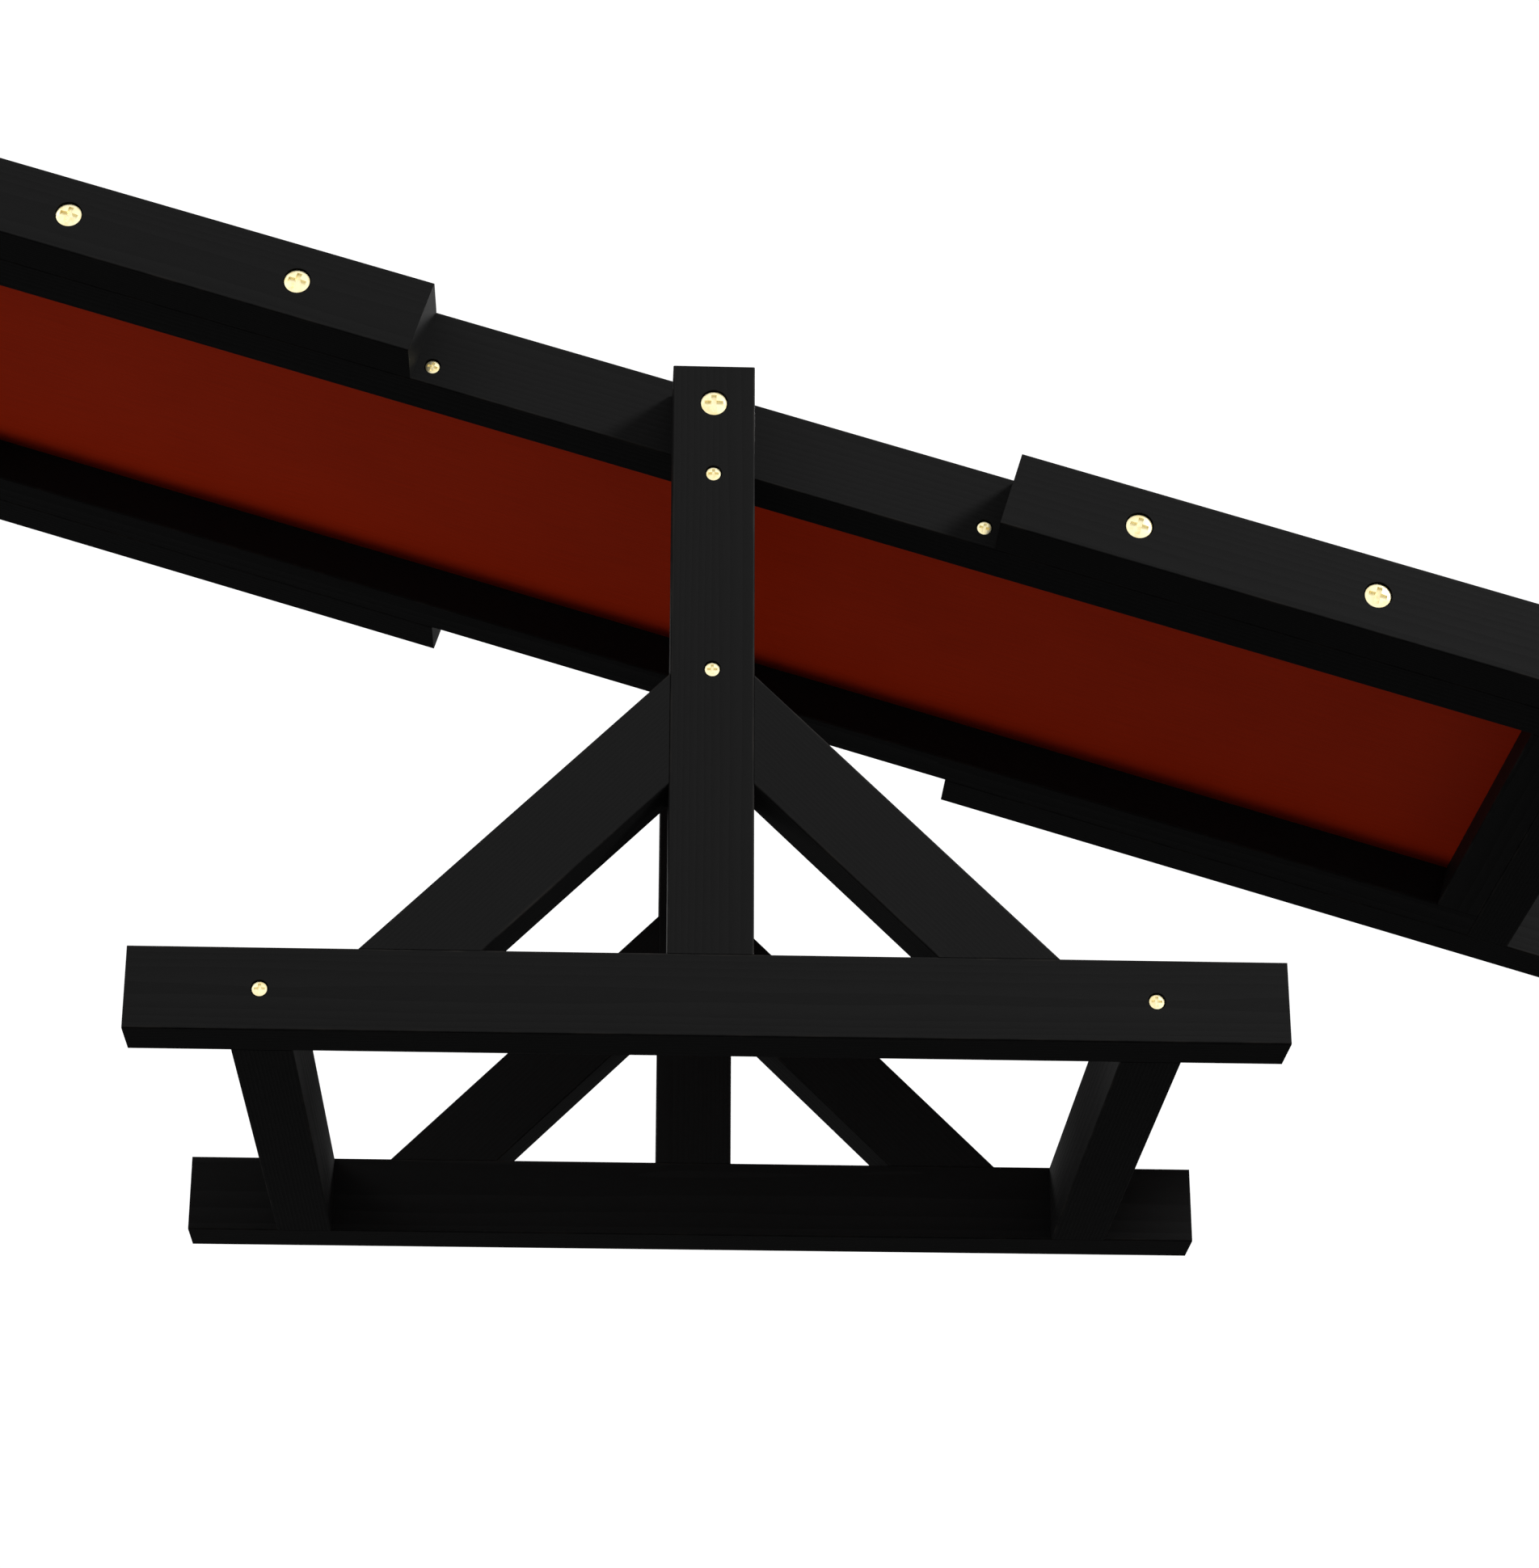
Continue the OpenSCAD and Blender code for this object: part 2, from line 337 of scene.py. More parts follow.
@dataclass(frozen=True)
class TurnedBrass:
    """Solid brass, turned on a lathe and buffed.

    The buffed face reads as a pale, nearly white yellow, with faint turned circles and
    a deeper gold where handling has dulled it.
    """

    buffed: str = "#fcf1c6"
    dulled: str = "#f0dc9c"
    circle: float = 1 / 14  # width of one turned circle over the head's width
    grit: float = 0.4 * MM  # buffing marks, drawn coarser than the real 0.05 mm
    roughness: tuple[float, float] = (0.26, 0.38)

    def material(self) -> bpy.types.Material:
        """Make the finish.

        Returns:
            The material, whose circles are centred on whatever round piece wears it.
        """
        material, tree = new_material("turned_brass")
        coordinates = add_node(tree, "TexCoord").outputs
        centred = add_node(
            tree, "VectorMath", {0: coordinates["Generated"], 1: (-0.5, -0.5, -0.5)}
        ).outputs[0]
        circles = add_node(
            tree,
            "TexWave",
            {"Vector": centred, "Scale": WAVE_PERIOD / self.circle, "Distortion": 0.6},
            wave_type="RINGS",
            rings_direction="Y",
        ).outputs["Fac"]
        marks = add_node(
            tree,
            "TexNoise",
            {"Vector": coordinates["Object"], "Scale": 1 / self.grit, "Detail": 3.0},
        ).outputs["Fac"]
        tarnish = add_node(
            tree, "TexNoise", {"Vector": coordinates["Object"], "Scale": 160.0, "Detail": 4.0}
        ).outputs["Fac"]
        dull = add_node(tree, "MapRange", {0: tarnish, 1: 0.45, 2: 0.75}).outputs[0]
        close_material(
            tree,
            add_node(
                tree,
                "BsdfPrincipled",
                {
                    "Base Color": add_node(
                        tree,
                        "Mix",
                        {0: dull, 6: linear(self.buffed), 7: linear(self.dulled)},
                        data_type="RGBA",
                    ).outputs[2],
                    "Metallic": 1.0,
                    "Roughness": add_node(
                        tree,
                        "MapRange",
                        {0: marks, 1: 0.3, 2: 0.7, 3: self.roughness[0], 4: self.roughness[1]},
                    ).outputs[0],
                    "Normal": add_node(
                        tree, "Bump", {"Strength": 0.25, "Distance": 0.03 * MM, "Height": circles}
                    ).outputs[0],
                },
            ),
        )
        return material


@dataclass(frozen=True)
class ZincPlate:
    """Steel washers with bright zinc plating, which reads as a cool, clouded grey."""

    bright: str = "#c6cacd"
    clouded: str = "#9ea3a7"
    cloud: float = 3 * MM  # width of the plating's cloudy patches
    roughness: tuple[float, float] = (0.3, 0.45)

    def material(self) -> bpy.types.Material:
        """Make the finish.

        Returns:
            The material.
        """
        material, tree = new_material("zinc_plate")
        clouds = add_node(
            tree,
            "TexNoise",
            {
                "Vector": add_node(tree, "TexCoord").outputs["Object"],
                "Scale": 1 / self.cloud,
                "Detail": 4.0,
            },
        ).outputs["Fac"]
        close_material(
            tree,
            add_node(
                tree,
                "BsdfPrincipled",
                {
                    "Base Color": add_node(
                        tree,
                        "Mix",
                        {0: clouds, 6: linear(self.bright), 7: linear(self.clouded)},
                        data_type="RGBA",
                    ).outputs[2],
                    "Metallic": 1.0,
                    "Roughness": add_node(
                        tree,
                        "MapRange",
                        {0: clouds, 1: 0.3, 2: 0.7, 3: self.roughness[0], 4: self.roughness[1]},
                    ).outputs[0],
                },
            ),
        )
        return material


@dataclass(frozen=True)
class RolledPaint:
    """Birch plywood under red enamel put on with a foam roller.

    The roller leaves a fine stipple, and the face veneer's grain shows through it as
    faint lines along the board.
    """

    enamel: str = "#e13911"
    thin: str = "#d4340e"
    stipple: float = 1.6 * MM  # the roller's texture
    veneer: float = 2.2 * MM  # width of the veneer's grain lines
    roughness: tuple[float, float] = (0.5, 0.6)
    specular: float = 0.1

    def material(self, place: Matrix) -> bpy.types.Material:
        """Make the finish.

        Args:
            place: From the board's own axes to the row frame.

        Returns:
            The material.
        """
        material, tree = new_material("red_enamel")
        to_board = place.inverted()
        board = add_node(
            tree,
            "Mapping",
            {
                "Vector": add_node(tree, "TexCoord").outputs["Object"],
                "Location": to_board.to_translation(),
                "Rotation": to_board.to_euler(),
            },
        ).outputs[0]
        lengthwise = add_node(
            tree, "VectorMath", {0: board, 1: (0.04, 1, 1)}, operation="MULTIPLY"
        ).outputs[0]
        lines = add_node(
            tree, "TexNoise", {"Vector": lengthwise, "Scale": 1 / self.veneer, "Detail": 4.0}
        ).outputs["Fac"]
        clouds = add_node(
            tree, "TexNoise", {"Vector": board, "Scale": 7.0, "Detail": 3.0}
        ).outputs["Fac"]
        stipple = add_node(
            tree, "TexNoise", {"Vector": board, "Scale": 1 / self.stipple, "Detail": 2.0}
        ).outputs["Fac"]
        faint = add_node(tree, "Math", {0: clouds, 1: 0.4}, operation="MULTIPLY").outputs[0]
        cover = add_node(
            tree, "Math", {0: lines, 1: 0.6, 2: faint}, operation="MULTIPLY_ADD"
        ).outputs[0]
        relief = add_node(
            tree, "Math", {0: lines, 1: 0.35, 2: stipple}, operation="MULTIPLY_ADD"
        ).outputs[0]
        close_material(
            tree,
            add_node(
                tree,
                "BsdfPrincipled",
                {
                    "Base Color": add_node(
                        tree,
                        "Mix",
                        {
                            0: add_node(tree, "MapRange", {0: cover, 1: 0.35, 2: 0.65}).outputs[0],
                            6: linear(self.enamel),
                            7: linear(self.thin),
                        },
                        data_type="RGBA",
                    ).outputs[2],
                    "Roughness": add_node(
                        tree,
                        "MapRange",
                        {0: stipple, 1: 0.3, 2: 0.7, 3: self.roughness[0], 4: self.roughness[1]},
                    ).outputs[0],
                    "IOR": 1.5,
                    "Specular IOR Level": self.specular,
                    "Normal": add_node(
                        tree, "Bump", {"Strength": 0.4, "Distance": 0.1 * MM, "Height": relief}
                    ).outputs[0],
                },
            ),
        )
        return material


@dataclass(frozen=True)
class EmbossedVinyl:
    """Red PVC upholstery cloth, embossed with a leather grain.

    Painted shade darkens the valleys between the grain's cells softly, and the PVC has a broad,
    dull shine.
    """

    ridge: str = "#a52416"
    # painted shade: the colour of the valleys between the cells
    valley_painted_shade: str = "#7e1a10"
    cell: float = 2.2 * MM  # real cells are about 1 mm, drawn coarser so that they show
    roughness: tuple[float, float] = (0.42, 0.56)
    specular: float = 0.3

    def material(self) -> bpy.types.Material:
        """Make the finish.

        Returns:
            The material.
        """
        material, tree = new_material("red_vinyl")
        place = add_node(tree, "TexCoord").outputs["Object"]
        wander = add_node(
            tree, "TexNoise", {"Vector": place, "Scale": 260.0, "Detail": 2.0}
        ).outputs["Color"]
        bent = add_node(
            tree,
            "VectorMath",
            {0: wander, 1: (1.4 * MM,) * 3, 2: place},
            operation="MULTIPLY_ADD",
        ).outputs[0]
        cells = add_node(
            tree,
            "TexVoronoi",
            {"Vector": bent, "Scale": 1 / self.cell},
            feature="DISTANCE_TO_EDGE",
        ).outputs["Distance"]
        # height of each cell, which drives the bump and the roughness, and also the painted shade
        # in the valleys
        cell_height_and_shade = add_node(
            tree,
            "MapRange",
            {0: cells, 1: 0.0, 2: 0.28},
            interpolation_type="SMOOTHSTEP",
        ).outputs[0]
        fade = add_node(
            tree, "TexNoise", {"Vector": place, "Scale": 5.0, "Detail": 3.0}
        ).outputs["Fac"]
        # random fading plus painted shade, darker towards the cells' edges
        fade_and_valley_shade = add_node(
            tree, "Math", {0: fade, 1: 0.5, 2: cell_height_and_shade}, operation="MULTIPLY_ADD"
        ).outputs[0]
        close_material(
            tree,
            add_node(
                tree,
                "BsdfPrincipled",
                {
                    "Base Color": add_node(
                        tree,
                        "Mix",
                        {
                            0: add_node(tree, "MapRange", {0: fade_and_valley_shade, 1: 0.2, 2: 1.25}).outputs[0],
                            6: linear(self.valley_painted_shade),
                            7: linear(self.ridge),
                        },
                        data_type="RGBA",
                    ).outputs[2],
                    "Roughness": add_node(
                        tree,
                        "MapRange",
                        {0: cell_height_and_shade, 3: self.roughness[1], 4: self.roughness[0]},
                    ).outputs[0],
                    "IOR": 1.53,
                    "Specular IOR Level": self.specular,
                    "Normal": add_node(
                        tree, "Bump", {"Strength": 0.45, "Distance": 0.25 * MM, "Height": cell_height_and_shade}
                    ).outputs[0],
                },
            ),
        )
        return material


@dataclass(frozen=True)
class BondedThread:
    """Bonded polyester thread, whose twist shows as fine slanted stripes of painted light and
    shade.
    """

    lit: str = "#4a0f0a"
    shaded: str = "#2c0705"
    twist: float = 1.2 * MM  # length of one turn of the ply

    def material(self) -> bpy.types.Material:
        """Make the finish.

        Returns:
            The material.
        """
        material, tree = new_material("bonded_thread")
        # painted light and shade: stripes along the twist, between the lit and the shaded colour
        ply_light_and_shade = add_node(
            tree,
            "TexWave",
            {
                "Vector": add_node(tree, "TexCoord").outputs["Object"],
                "Scale": WAVE_PERIOD / self.twist,
            },
            bands_direction="DIAGONAL",
        ).outputs["Fac"]
        close_material(
            tree,
            add_node(
                tree,
                "BsdfPrincipled",
                {
                    "Base Color": add_node(
                        tree,
                        "Mix",
                        {0: ply_light_and_shade, 6: linear(self.shaded), 7: linear(self.lit)},
                        data_type="RGBA",
                    ).outputs[2],
                    "Roughness": 0.6,
                    "Sheen Weight": 0.3,
                },
            ),
        )
        return material


# ---- Timber ----


@dataclass(frozen=True)
class Bar:
    """One straight piece of timber.

    Args:
        name: Its solid's name.
        centre: Its middle, in the axes of the sub-assembly that it belongs to.
        grain: Way in which its grain runs there.
        half: Half its sizes across the grain, along its own Y and Z.
    """

    name: str
    centre: tuple[float, float, float]
    grain: Grain
    half: tuple[float, float]

    def dress(self, finish: StainedTimber, place: Matrix, seed: int) -> None:
        """Stain the bar.

        Args:
            finish: Its finish.
            place: From the sub-assembly's axes to the row frame.
            seed: Number that sets the bar's growth rings.
        """
        on_row = place @ Matrix.Translation(self.centre) @ self.grain.turn()
        dress([self.name], finish.material(self.name, on_row, self.half, seed))


@dataclass
class Trestle:
    """The fixed stand: two braced side frames joined by two base bars and two stretchers."""

    frame_y: float = 0.2785  # middle of a side frame
    half_wide: float = 35 * MM
    half_thin: float = 25 * MM
    base_half_z: float = 35 * MM
    cross_x: float = 0.359
    post_z: float = 0.3385
    brace_x: float = 0.13375
    brace_z: float = 0.16875
    stretchers: dict[str, float] = field(
        default_factory=lambda: {"stretcher_upper": 0.5044, "stretcher_lower": 0.322}
    )

    def bars(self) -> list[Bar]:
        """List the trestle's timber.

        Returns:
            Its bars.
        """
        on_edge = (self.half_thin, self.half_wide)
        found = []
        for side, y_sign in SIDES.items():
            y = y_sign * self.frame_y
            found.append(Bar(f"base_rail_{side}", (0, y, self.base_half_z), Grain.ALONG, on_edge))
            found.append(Bar(f"post_{side}", (0, y, self.post_z), Grain.UPRIGHT, on_edge))
            for end, x_sign in ENDS.items():
                grain = Grain.RAKED_LEFT if x_sign < 0 else Grain.RAKED_RIGHT
                centre = (x_sign * self.brace_x, y, self.brace_z)
                found.append(Bar(f"brace_{side}_{end}", centre, grain, on_edge))
        for end, x_sign in ENDS.items():
            centre = (x_sign * self.cross_x, 0, self.base_half_z)
            found.append(Bar(f"base_crossmember_{end}", centre, Grain.ACROSS, on_edge))
        for name, z in self.stretchers.items():
            found.append(Bar(name, (0, 0, z), Grain.ACROSS, (self.half_thin, self.half_thin)))
        return found

    def dress(self, timber: StainedTimber, brass: bpy.types.Material) -> None:
        """Give the trestle its finishes.

        Args:
            timber: Finish of its bars.
            brass: Finish of its screws and pivot bolts.
        """
        for seed, bar in enumerate(self.bars()):
            bar.dress(timber, Matrix.Identity(4), seed)
        screws = [f"base_screw_{side}_{end}" for side in SIDES for end in ENDS]
        for side in SIDES:
            screws += [f"stretcher_{level}_screw_{side}" for level in ("upper", "lower")]
            screws.append(f"pivot_bolt_{side}")
        dress(screws, brass)
        dress([f"pivot_washer_{side}" for side in SIDES], ZincPlate().material())


@dataclass
class Board:
    """The tipping board: a timber frame round a red panel, with plates on its sides."""

    pivot_z: float = 0.572
    tilt: float = math.radians(17)  # it rests on the upper stretcher, right end down
    middle_z: float = 1.5 * MM  # middle of its timber above the pivot
    rail_y: float = 0.227
    plate_x: float = 0.587
    plate_y: float = 0.277
    end_rail_x: float = 0.770
    end_cap_x: float = 0.810
    half_wide: float = 35 * MM
    half_thin: float = 25 * MM
    half_end: float = 20 * MM

    def place(self) -> Matrix:
        """Return the matrix from the board's own axes, origin at the pivot, to the row frame."""
        return Matrix.Translation((0, 0, self.pivot_z)) @ Matrix.Rotation(self.tilt, 4, "Y")

    def bars(self) -> list[Bar]:
        """List the board's timber.

        Returns:
            Its bars.
        """
        on_edge = (self.half_thin, self.half_wide)
        across = (self.half_end, self.half_wide)
        z = self.middle_z
        found = []
        for side, y_sign in SIDES.items():
            y = y_sign * self.rail_y
            found.append(Bar(f"side_rail_{side}", (0, y, z), Grain.ALONG, on_edge))
            for end, x_sign in ENDS.items():
                centre = (x_sign * self.plate_x, y_sign * self.plate_y, z)
                found.append(Bar(f"side_plate_{side}_{end}", centre, Grain.ALONG, on_edge))
        for end, x_sign in ENDS.items():
            for kind, x in (("rail", self.end_rail_x), ("cap", self.end_cap_x)):
                found.append(Bar(f"end_{kind}_{end}", (x_sign * x, 0, z), Grain.ACROSS, across))
        return found

    def dress(self, timber: StainedTimber, brass: bpy.types.Material) -> None:
        """Give the board its finishes.

        Args:
            timber: Finish of its bars.
            brass: Finish of its screws and bushes.
        """
        for seed, bar in enumerate(self.bars(), start=20):
            bar.dress(timber, self.place(), seed)
        brasses = [f"pivot_bush_{side}" for side in SIDES]
        for side in SIDES:
            for end in ENDS:
                brasses.append(f"rail_screw_{side}_{end}")
                brasses += [f"plate_screw_{side}_{end}_{i}" for i in (1, 2, 3)]
        dress(brasses, brass)
        dress(["deck_panel"], RolledPaint().material(self.place()))


# ---- Pad ----


@dataclass
class Pad:
    """The long foam pad in its vinyl cover, sewn into channels across its width.

    Its sizes are in the board's own axes. It lies on the panel between the rails.
    """

    half_length: float = 0.7445
    half_width: float = 0.1965
    bottom: float = 24.8 * MM
    edge_top: float = 42.5 * MM
    crown: float = 2.5 * MM
    channels: int = 4
    seam_depth: float = 4.5 * MM
    seam_width: float = 5 * MM
    side_pull: float = 1.6 * MM
    voxel: float = 6 * MM
    pressure: float = 4.0
    most_swell: float = 5 * MM
    top_limit: float = 49 * MM
    stitch: float = 6 * MM
    stitch_off: float = 4.5 * MM
    stitch_margin: float = 12 * MM  # from the pad's long edges to the first stitch
    stitch_share: tuple[float, float] = (0.38, 0.32)  # of a stitch: half its thread, each reach
    thread: float = 0.45 * MM
    piping: float = 2.2 * MM
    piping_sink: float = 0.5 * MM
    piping_step: float = 20 * MM
    corner: float = 14 * MM
    hem: float = 3 * MM  # height of the lower rim, which the cloth simulation leaves alone
    cloth_frames: int = 20
    draw_in: float = 8 * MM  # height above the bottom where a seam begins to draw in
    pucker_height: float = 0.35 * MM
    pucker_reach: float = 16 * MM
    pucker_waves: tuple[float, float] = (4.2 * MM, 11 * MM)

    def seams(self) -> list[float]:
        """Return where the seams cross the pad, along its length."""
        step = 2 * self.half_length / (self.channels + 1)
        return [-self.half_length + step * (i + 1) for i in range(self.channels)]

    def blank(self) -> bpy.types.Mesh:
        """Make the slab that the cover is blown up from.

        Returns:
            An even closed mesh with crowned top and pulled-in sides.
        """
        mesh = bpy.data.meshes.new("pad_blank")
        shape = bmesh.new()
        bmesh.ops.create_cube(shape, size=1)
        height = self.edge_top - self.bottom
        for vert in shape.verts:
            vert.co = Vector(
                (
                    vert.co.x * 2 * self.half_length,
                    vert.co.y * 2 * self.half_width,
                    self.bottom + (vert.co.z + 0.5) * height,
                )
            )
        bmesh.ops.bevel(
            shape, geom=shape.edges[:], offset=0.4 * height, segments=3, affect="EDGES"
        )
        shape.to_mesh(mesh)
        shape.free()
        holder = bpy.data.objects.new("pad_blank", mesh)
        bpy.context.scene.collection.objects.link(holder)
        remesh = holder.modifiers.new("even", "REMESH")
        remesh.mode = "VOXEL"
        remesh.voxel_size = self.voxel
        even = bpy.data.meshes.new_from_object(
            holder.evaluated_get(bpy.context.evaluated_depsgraph_get())
        )
        bpy.data.objects.remove(holder)
        for vert in even.vertices:
            vert.co = self.shaped(vert.co)
        return even

    def shaped(self, spot: Vector) -> Vector:
        """Crown the top and pull in the sides.

        Args:
            spot: Point of the plain slab.

        Returns:
            Where it lies on the shaped slab.
        """
        u = spot.x / self.half_length
        v = spot.y / self.half_width
        rise = max(0.0, (spot.z - self.bottom) / (self.edge_top - self.bottom))
        crown = self.crown * rise * (1 - abs(v) ** 3) * (1 - abs(u) ** 8)
        waist = self.side_pull * (1 - abs(u) ** 4)
        ends = self.side_pull * (1 - abs(v) ** 4)
        return Vector(
            (
                spot.x - math.copysign(ends * abs(u) ** 8, spot.x),
                spot.y - math.copysign(waist * abs(v) ** 8, spot.y),
                spot.z + crown,
            )
        )

    def held(self, spot: Vector) -> float:
        """Find how firmly the cloth simulation holds a point.

        Args:
            spot: Point of the cover.

        Returns:
            1 underneath and at a seam, 0 where it is free, and between them next to a seam.
        """
        if spot.z < self.bottom + self.hem:
            return 1.0
        nearest = min(abs(spot.x - seam) for seam in self.seams())
        return max(0.0, 1 - nearest / self.voxel)

    def blow_up(self, mesh: bpy.types.Mesh) -> None:
        """Swell the cover by cloth simulation, between its seams and its underside.

        Args:
            mesh: The slab, whose points are moved.
        """
        holder = bpy.data.objects.new("pad_swelling", mesh)
        bpy.context.scene.collection.objects.link(holder)
        group = holder.vertex_groups.new(name="held")
        for vert in mesh.vertices:
            group.add([vert.index], self.held(vert.co), "REPLACE")
        cloth = holder.modifiers.new("cover", "CLOTH")
        settings = cloth.settings
        settings.quality = 5
        settings.mass = 0.4
        settings.use_pressure = True
        settings.uniform_pressure_force = self.pressure
        settings.effector_weights.gravity = 0
        settings.vertex_group_mass = group.name
        scene = bpy.context.scene
        for moment in range(self.cloth_frames):
            scene.frame_set(moment + 1)
        swollen = holder.evaluated_get(bpy.context.evaluated_depsgraph_get()).to_mesh()
        moved = [vert.co.copy() for vert in swollen.vertices]
        for vert, target in zip(mesh.vertices, moved):
            swell = target - vert.co
            if swell.length > self.most_swell:
                swell *= self.most_swell / swell.length
            vert.co += swell
            vert.co.z = min(max(vert.co.z, self.bottom), self.top_limit)
        holder.modifiers.clear()
        bpy.data.objects.remove(holder)
        scene.frame_set(1)

    def sew(self, spot: Vector) -> Vector:
        """Sink a point into the seams' grooves, with the puckers that a tight seam makes.

        Args:
            spot: Point of the cover.

        Returns:
            Where it lies once the seams are sewn.
        """
        sewn = spot.copy()
        share = min(1.0, max(0.0, (spot.z - self.bottom - self.draw_in) / self.draw_in))
        short, long = self.pucker_waves
        for seam in self.seams():
            off = abs(spot.x - seam)
            groove = math.exp(-((off / self.seam_width) ** 2))
            pucker = math.exp(-off / self.pucker_reach) * (1 - groove)
            phase = 900 * seam  # radians, so that no two seams pucker alike
            ripple = math.sin(spot.y / short + phase) * math.sin(spot.y / long)
            sewn.z -= share * (self.seam_depth * groove - self.pucker_height * ripple * pucker)
        return sewn

    def cover(self) -> bpy.types.Mesh:
        """Make the finished cover.

        Returns:
            Its mesh.
        """
        mesh = self.blank()
        self.blow_up(mesh)
        holder = bpy.data.objects.new("pad_rough", mesh)
        bpy.context.scene.collection.objects.link(holder)
        finer = holder.modifiers.new("finer", "SUBSURF")
        finer.levels = 1
        smooth = bpy.data.meshes.new_from_object(
            holder.evaluated_get(bpy.context.evaluated_depsgraph_get())
        )
        bpy.data.objects.remove(holder)
        for vert in smooth.vertices:
            vert.co = self.sew(vert.co)
        smooth.polygons.foreach_set("use_smooth", [True] * len(smooth.polygons))
        smooth.name = "pad_cushion"
        return smooth

    def piping_curve(self) -> bpy.types.Curve:
        """Make the piping round the pad's upper edge.

        Returns:
            A closed curve with a round section.
        """
        curve = bpy.data.curves.new("pad_piping", "CURVE")
        curve.dimensions = "3D"
        curve.bevel_depth = self.piping
        curve.bevel_resolution = 3
        steps = 8  # pieces of each rounded corner
        outline = []
        for x_sign, y_sign in ((1, 1), (-1, 1), (-1, -1), (1, -1)):
            for i in range(steps + 1):
                turn = math.pi / 2 * i / steps
                a, b = (math.cos(turn), math.sin(turn))
                if x_sign * y_sign < 0:
                    a, b = b, a
                outline.append(
                    (
                        x_sign * (self.half_length - self.corner + self.corner * a),
                        y_sign * (self.half_width - self.corner + self.corner * b),
                    )
                )
        spots = []
        for (x0, y0), (x1, y1) in zip(outline, outline[1:] + outline[:1]):
            pieces = max(1, round(math.hypot(x1 - x0, y1 - y0) / self.piping_step))
            for i in range(pieces):
                t = i / pieces
                spots.append((x0 + t * (x1 - x0), y0 + t * (y1 - y0)))
        spline = curve.splines.new("POLY")
        spline.points.add(len(spots) - 1)
        for point, (x, y) in zip(spline.points, spots):
            at = self.shaped(Vector((x, y, self.edge_top)))
            point.co = (at.x, at.y, self.edge_top - self.piping_sink, 1)
        spline.use_cyclic_u = True
        return curve

    def stitches(self, cover: bpy.types.Mesh) -> bpy.types.Mesh:
        """Make the top stitches that run along both sides of every seam.

        Args:
            cover: The cover, on which the stitches lie.

        Returns:
            One mesh with every stitch.
        """
        skin = BVHTree.FromPolygons(
            [vert.co for vert in cover.vertices], [tuple(p.vertices) for p in cover.polygons]
        )
        single = bmesh.new()
        bmesh.ops.create_uvsphere(single, u_segments=8, v_segments=6, radius=1)
        half_stitch, reach = (share * self.stitch for share in self.stitch_share)
        size = Matrix.Diagonal((self.thread, self.thread, half_stitch, 1))
        grain = [size @ vert.co for vert in single.verts]
        faces = [[vert.index for vert in face.verts] for face in single.faces]
        single.free()
        count = int(2 * (self.half_width - self.stitch_margin) / self.stitch)
        all_points: list[Vector] = []
        all_faces: list[list[int]] = []
        rows = [seam + side * self.stitch_off for seam in self.seams() for side in (-1, 1)]
        for x in rows:
            for i in range(count):
                y = (i + 0.5 - count / 2) * self.stitch
                tips = [
                    skin.ray_cast(Vector((x, y + step, 0.1)), Vector((0, 0, -1)))[0]
                    for step in (-reach, reach)
                ]
                if None in tips:
                    continue
                turn = (tips[1] - tips[0]).to_track_quat("Z", "Y").to_matrix().to_4x4()
                place = Matrix.Translation((tips[0] + tips[1]) / 2) @ turn
                first = len(all_points)
                all_points += [place @ point for point in grain]
                all_faces += [[first + index for index in face] for face in faces]
        mesh = bpy.data.meshes.new("pad_stitching")
        mesh.from_pydata(all_points, [], all_faces)
        mesh.polygons.foreach_set("use_smooth", [True] * len(mesh.polygons))
        return mesh

    def build(self, place: Matrix) -> None:
        """Build the pad on the board.

        Args:
            place: From the board's own axes to the row frame.
        """
        vinyl = EmbossedVinyl().material()
        cover = self.cover()
        cushion = new_piece("pad_cushion", cover, place, vinyl)
        piping = new_piece("pad_piping", self.piping_curve(), place, vinyl)
        sewing = new_piece("pad_stitching", self.stitches(cover), place, BondedThread().material())
        for piece in (cushion, piping, sewing):
            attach(piece, "board")
        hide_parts("pad_foam", "pad_cover")


# ---- Studio ----


@dataclass
class Softbox:
    """A square area light that shines at one point.

    Args:
        name: The light's name.
        stand: Where it stands.
        side: Its side.
        power: Its power in watts.
        aim: Where it points.
        shaded_by: Body whose solids alone throw shadows in it, or nothing for all.
    """

    name: str
    stand: tuple[float, float, float]
    side: float
    power: float
    aim: tuple[float, float, float] = (0, 0, 0.4)
    shaded_by: str = ""

    def build(self) -> None:
        """Make the light."""
        data = bpy.data.lights.new(self.name, "AREA")
        data.size = self.side
        data.energy = self.power
        light = bpy.data.objects.new(self.name, data)
        light.visible_camera = False
        bpy.context.scene.collection.objects.link(light)
        light.location = self.stand
        look = Vector(self.aim) - Vector(self.stand)
        light.rotation_euler = look.to_track_quat("-Z", "Y").to_euler()
        if self.shaded_by:
            screens = bpy.data.collections.new(self.name + "_screens")
            for solid in frame["nodes"].values():
                if solid["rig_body"] == self.shaded_by:
                    screens.objects.link(solid)
            light.light_linking.blocker_collection = screens
            light.visible_glossy = False


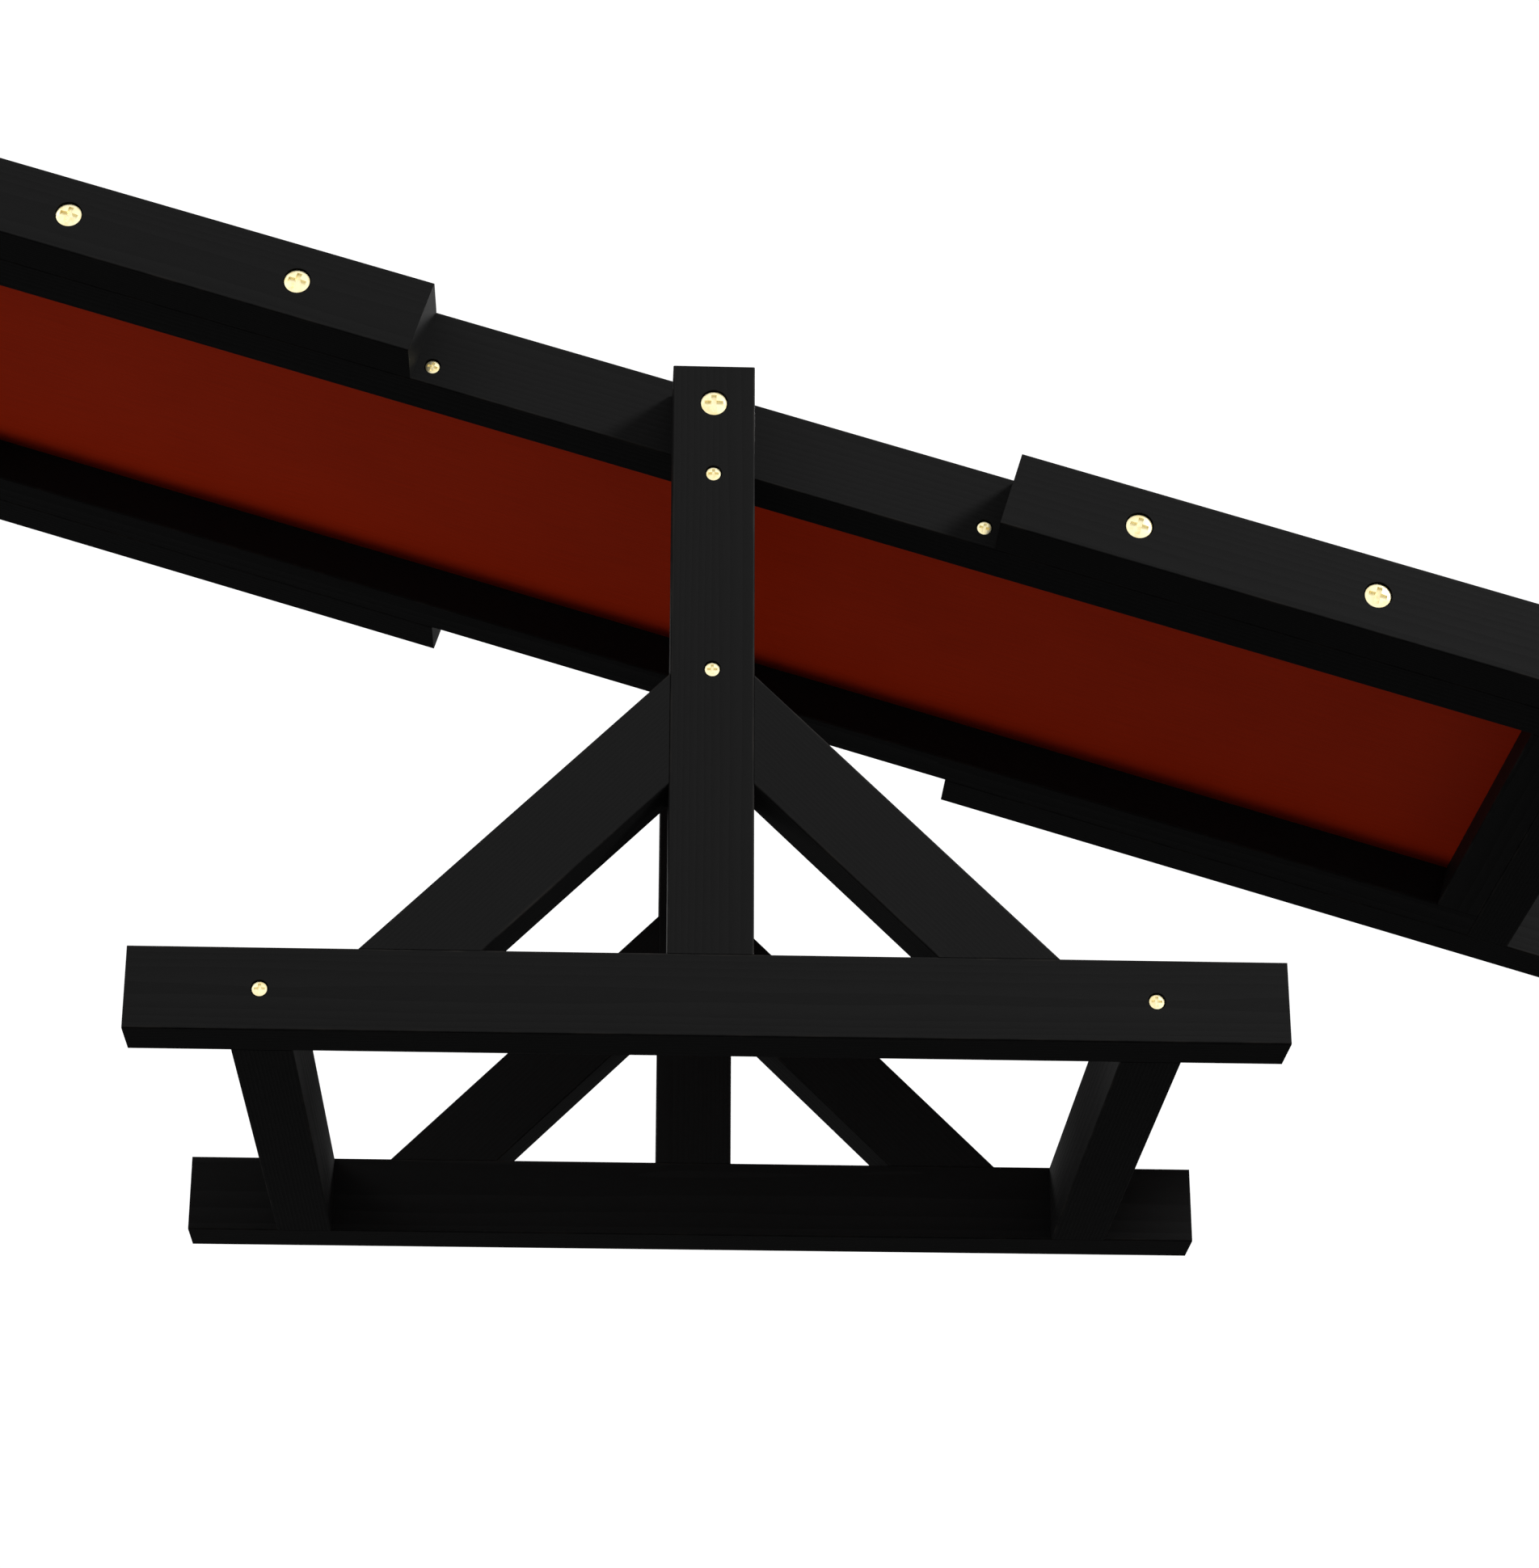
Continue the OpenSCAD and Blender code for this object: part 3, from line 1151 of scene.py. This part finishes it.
@dataclass
class Studio:
    """The pale floor, the soft light round the board, and the camera low in front of it."""

    floor_half: float = 6.0
    floor_z: float = -0.4 * MM
    floor_colour: str = "#f4f4f2"
    lens: float = 89.08
    camera_at: tuple[float, float, float] = (-0.0779, -3.2228, -1.0244)
    camera_turn: tuple[float, float, float] = (math.pi / 2 + 0.4023, 0, -0.0429)
    sky: float = 0.25
    dim: float = 0.03
    backdrop: float = 1.1
    shine: float = 1.15
    murk: float = 0.07
    shine_way: tuple[float, float, float] = (0, -0.91, 0.41)  # where reflections are brightest
    boxes: list[Softbox] = field(
        default_factory=lambda: [
            Softbox("key", (7.8, -5.6, 6.2), 2.2, 1210),
            Softbox("fill", (-6.6, -5.6, 5.0), 3.6, 110),
            Softbox("back_right", (5.0, 4.6, 4.4), 3.0, 300),
            Softbox("back_left", (-5.0, 4.6, 4.4), 3.0, 300),
            Softbox("under_left", (-2.2, 1.6, -1.8), 2.0, 18, (-1.0, 0, 0.8), "board"),
            Softbox("under_right", (2.4, 1.6, -1.6), 1.6, 3, (0.3, 0, 0.5), "board"),
        ]
    )

    def floor(self) -> None:
        """Lay the floor, which is seen from above only and lets light from below through."""
        mesh = bpy.data.meshes.new("floor")
        shape = bmesh.new()
        bmesh.ops.create_grid(shape, x_segments=1, y_segments=1, size=self.floor_half)
        shape.to_mesh(mesh)
        shape.free()
        material, tree = new_material("floor")
        pale = add_node(
            tree, "BsdfDiffuse", {"Color": linear(self.floor_colour), "Roughness": 0.0}
        )
        below = add_node(tree, "NewGeometry").outputs["Backfacing"]
        seen = add_node(tree, "LightPath").outputs["Is Camera Ray"]
        shown = add_node(tree, "Math", {0: seen, 1: below}, operation="SUBTRACT", use_clamp=True)
        clear = add_node(tree, "BsdfTransparent")
        close_material(
            tree,
            add_node(
                tree,
                "MixShader",
                {0: shown.outputs[0], 1: clear.outputs[0], 2: pale.outputs[0]},
            ),
        )
        floor = new_piece("floor", mesh, Matrix.Translation((0, 0, self.floor_z)), material)

    def air(self) -> None:
        """Make the white background and a soft light, whose reflections are brighter in front."""
        world = bpy.data.worlds.new("studio")
        bpy.context.scene.world = world
        world.use_nodes = True
        tree = world.node_tree
        tree.nodes.clear()
        way = add_node(tree, "TexCoord").outputs["Generated"]
        height = add_node(tree, "SeparateXYZ", {0: way}).outputs["Z"]
        soft = add_node(
            tree, "MapRange", {0: height, 1: 0.0, 2: 0.8, 3: self.dim, 4: self.sky}
        ).outputs[0]
        path = add_node(tree, "LightPath").outputs
        front = add_node(
            tree, "VectorMath", {0: way, 1: self.shine_way}, operation="DOT_PRODUCT"
        ).outputs["Value"]
        bright = add_node(
            tree,
            "MapRange",
            {0: front, 1: 0.1, 2: 0.85, 3: self.murk, 4: self.shine},
            interpolation_type="SMOOTHSTEP",
        ).outputs[0]
        glossy = path["Is Glossy Ray"]
        seen = add_node(
            tree, "Math", {0: path["Is Camera Ray"], 1: self.backdrop}, operation="MULTIPLY"
        ).outputs[0]
        lit = add_node(tree, "Mix", {0: glossy, 2: soft, 3: bright}).outputs[0]
        strength = add_node(tree, "Math", {0: lit, 1: seen}, operation="MAXIMUM").outputs[0]
        background = add_node(
            tree, "Background", {"Color": (1, 1, 1, 1), "Strength": strength}
        )
        add_node(tree, "OutputWorld", {"Surface": background.outputs[0]})

    def camera(self) -> None:
        """Set up the camera."""
        data = bpy.data.cameras.new("camera")
        data.lens = self.lens
        camera = bpy.data.objects.new("camera", data)
        bpy.context.scene.collection.objects.link(camera)
        camera.location = self.camera_at
        camera.rotation_euler = self.camera_turn
        bpy.context.scene.camera = camera

    def build(self) -> None:
        """Make the whole studio."""
        self.camera()
        self.floor()
        self.air()
        for box in self.boxes:
            box.build()
        bpy.context.scene.view_settings.view_transform = "Standard"
        log.info("studio ready")


def main() -> None:
    """Build the springboard and its studio."""
    logging.basicConfig(level=logging.INFO, format="%(message)s")
    Studio().build()
    timber = StainedTimber()
    brass = TurnedBrass().material()
    Trestle().dress(timber, brass)
    board = Board()
    board.dress(timber, brass)
    Pad().build(board.place())


if __name__ == "__main__":
    main()
